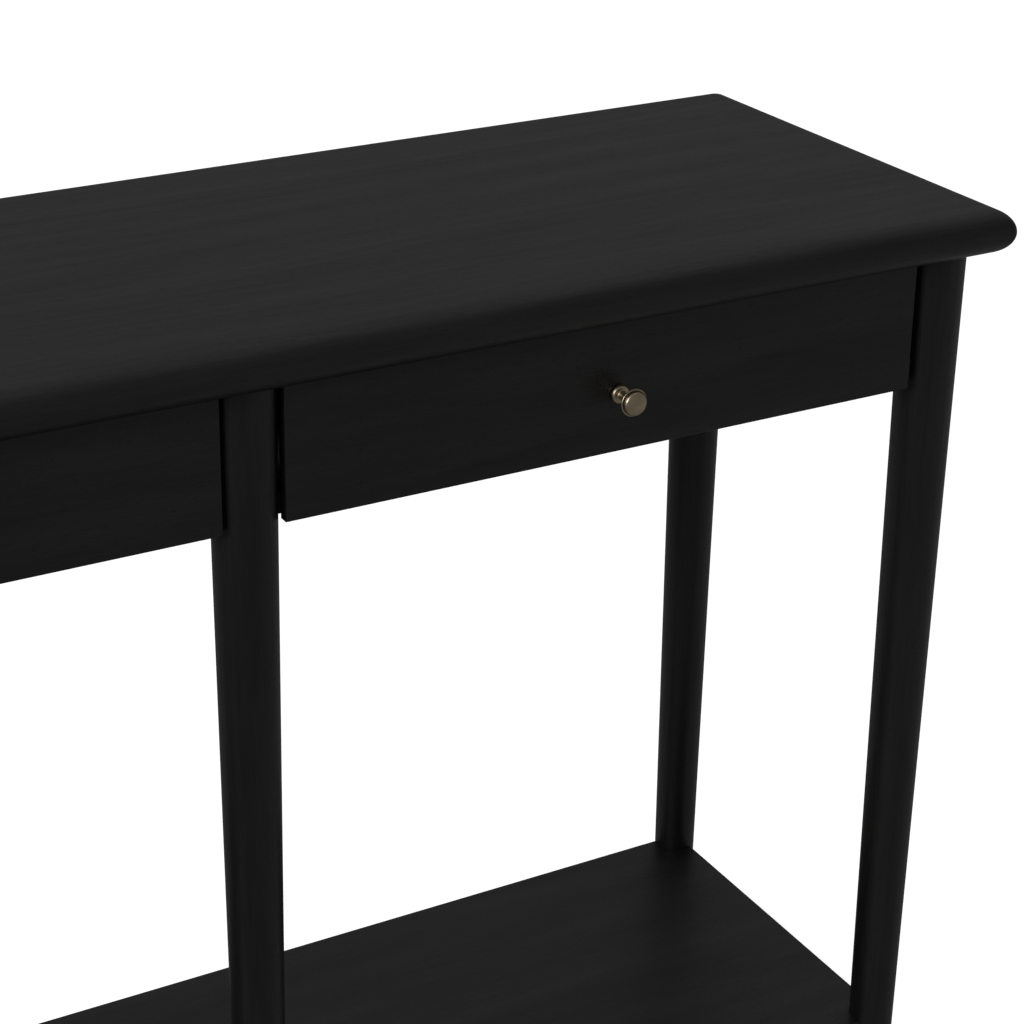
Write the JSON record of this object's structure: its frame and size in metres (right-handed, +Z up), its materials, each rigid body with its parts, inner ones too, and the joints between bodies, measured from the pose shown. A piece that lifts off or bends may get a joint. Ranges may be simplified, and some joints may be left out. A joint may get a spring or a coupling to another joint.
{
  "type": "console table",
  "caption": "Long narrow console table with round tapered legs, drawers on side slides under a thick round-edged top, and a low full-length shelf.",
  "frame": {"origin": "on the floor, midway between the front and rear legs, 3 mm behind the middle of the top", "axes": "+X along the table's length to the right as seen from the front, +Y to the back, +Z up; the drawers open towards -Y"},
  "size_m": [1.196, 0.386, 0.8],
  "materials": {
    "black_stained_wood": "black stain under a satin lacquer, fine open grain",
    "drawer_wood": "clear matt lacquer on plain light wood",
    "beech_dowel": "bare fluted beech",
    "antique_brass": "aged brass, brushed and lacquered, dark in the grooves",
    "zinc_steel": "bright zinc plate",
    "fastener_steel": "zinc-plated screws, bolts and brackets",
    "glide_nylon": "dark moulded nylon"
  },
  "bodies": {
    "frame": {"centre_divider": "black_stained_wood", "frame_dowels": "beech_dowel", "front_left_leg": "black_stained_wood", "front_middle_leg": "black_stained_wood", "front_right_leg": "black_stained_wood", "left_apron": "black_stained_wood", "left_bay_left_packer": "drawer_wood", "left_bay_left_slide_fixed": "zinc_steel", "left_bay_right_packer": "drawer_wood", "left_bay_right_slide_fixed": "zinc_steel", "left_lower_rail": "black_stained_wood", "left_upper_rail": "black_stained_wood", "leg_glides": "glide_nylon", "lower_shelf": "black_stained_wood", "rear_apron": "black_stained_wood", "rear_left_leg": "black_stained_wood", "rear_right_leg": "black_stained_wood", "right_apron": "black_stained_wood", "right_bay_left_packer": "drawer_wood", "right_bay_left_slide_fixed": "zinc_steel", "right_bay_right_packer": "drawer_wood", "right_bay_right_slide_fixed": "zinc_steel", "right_lower_rail": "black_stained_wood", "right_upper_rail": "black_stained_wood", "shelf_bolts": "fastener_steel", "shelf_nuts": "fastener_steel", "slide_screws": "fastener_steel", "table_top": "black_stained_wood", "top_brackets": "fastener_steel", "top_screws": "fastener_steel"},
    "left_drawer": {"left_drawer_box_back": "drawer_wood", "left_drawer_box_bottom": "drawer_wood", "left_drawer_box_dowels": "beech_dowel", "left_drawer_box_front": "drawer_wood", "left_drawer_box_left_side": "drawer_wood", "left_drawer_box_right_side": "drawer_wood", "left_drawer_front": "black_stained_wood", "left_drawer_front_screws": "fastener_steel", "left_drawer_knob": "antique_brass", "left_drawer_knob_bolt": "fastener_steel", "left_drawer_left_slide_moving": "zinc_steel", "left_drawer_right_slide_moving": "zinc_steel", "left_drawer_slide_screws": "fastener_steel"},
    "right_drawer": {"right_drawer_box_back": "drawer_wood", "right_drawer_box_bottom": "drawer_wood", "right_drawer_box_dowels": "beech_dowel", "right_drawer_box_front": "drawer_wood", "right_drawer_box_left_side": "drawer_wood", "right_drawer_box_right_side": "drawer_wood", "right_drawer_front": "black_stained_wood", "right_drawer_front_screws": "fastener_steel", "right_drawer_knob": "antique_brass", "right_drawer_knob_bolt": "fastener_steel", "right_drawer_left_slide_moving": "zinc_steel", "right_drawer_right_slide_moving": "zinc_steel", "right_drawer_slide_screws": "fastener_steel"},
    "left_ball_cages": {"left_bay_left_ball_cage": "zinc_steel", "left_bay_right_ball_cage": "zinc_steel"},
    "right_ball_cages": {"right_bay_left_ball_cage": "zinc_steel", "right_bay_right_ball_cage": "zinc_steel"}
  },
  "joints": [
    {"name": "left_drawer_slide", "type": "slide", "parent": "frame", "child": "left_drawer", "axis": [0, -1, 0], "range_m": [0, 0.18]},
    {"name": "left_cage_slide", "type": "slide", "parent": "frame", "child": "left_ball_cages", "axis": [0, -1, 0], "range_m": [0, 0.09]},
    {"name": "right_drawer_slide", "type": "slide", "parent": "frame", "child": "right_drawer", "axis": [0, -1, 0], "range_m": [0, 0.18]},
    {"name": "right_cage_slide", "type": "slide", "parent": "frame", "child": "right_ball_cages", "axis": [0, -1, 0], "range_m": [0, 0.09]}
  ],
  "couplings": [
    {"joint": "left_cage_slide", "follows": "left_drawer_slide", "ratio": 0.5},
    {"joint": "right_cage_slide", "follows": "right_drawer_slide", "ratio": 0.5}
  ]
}
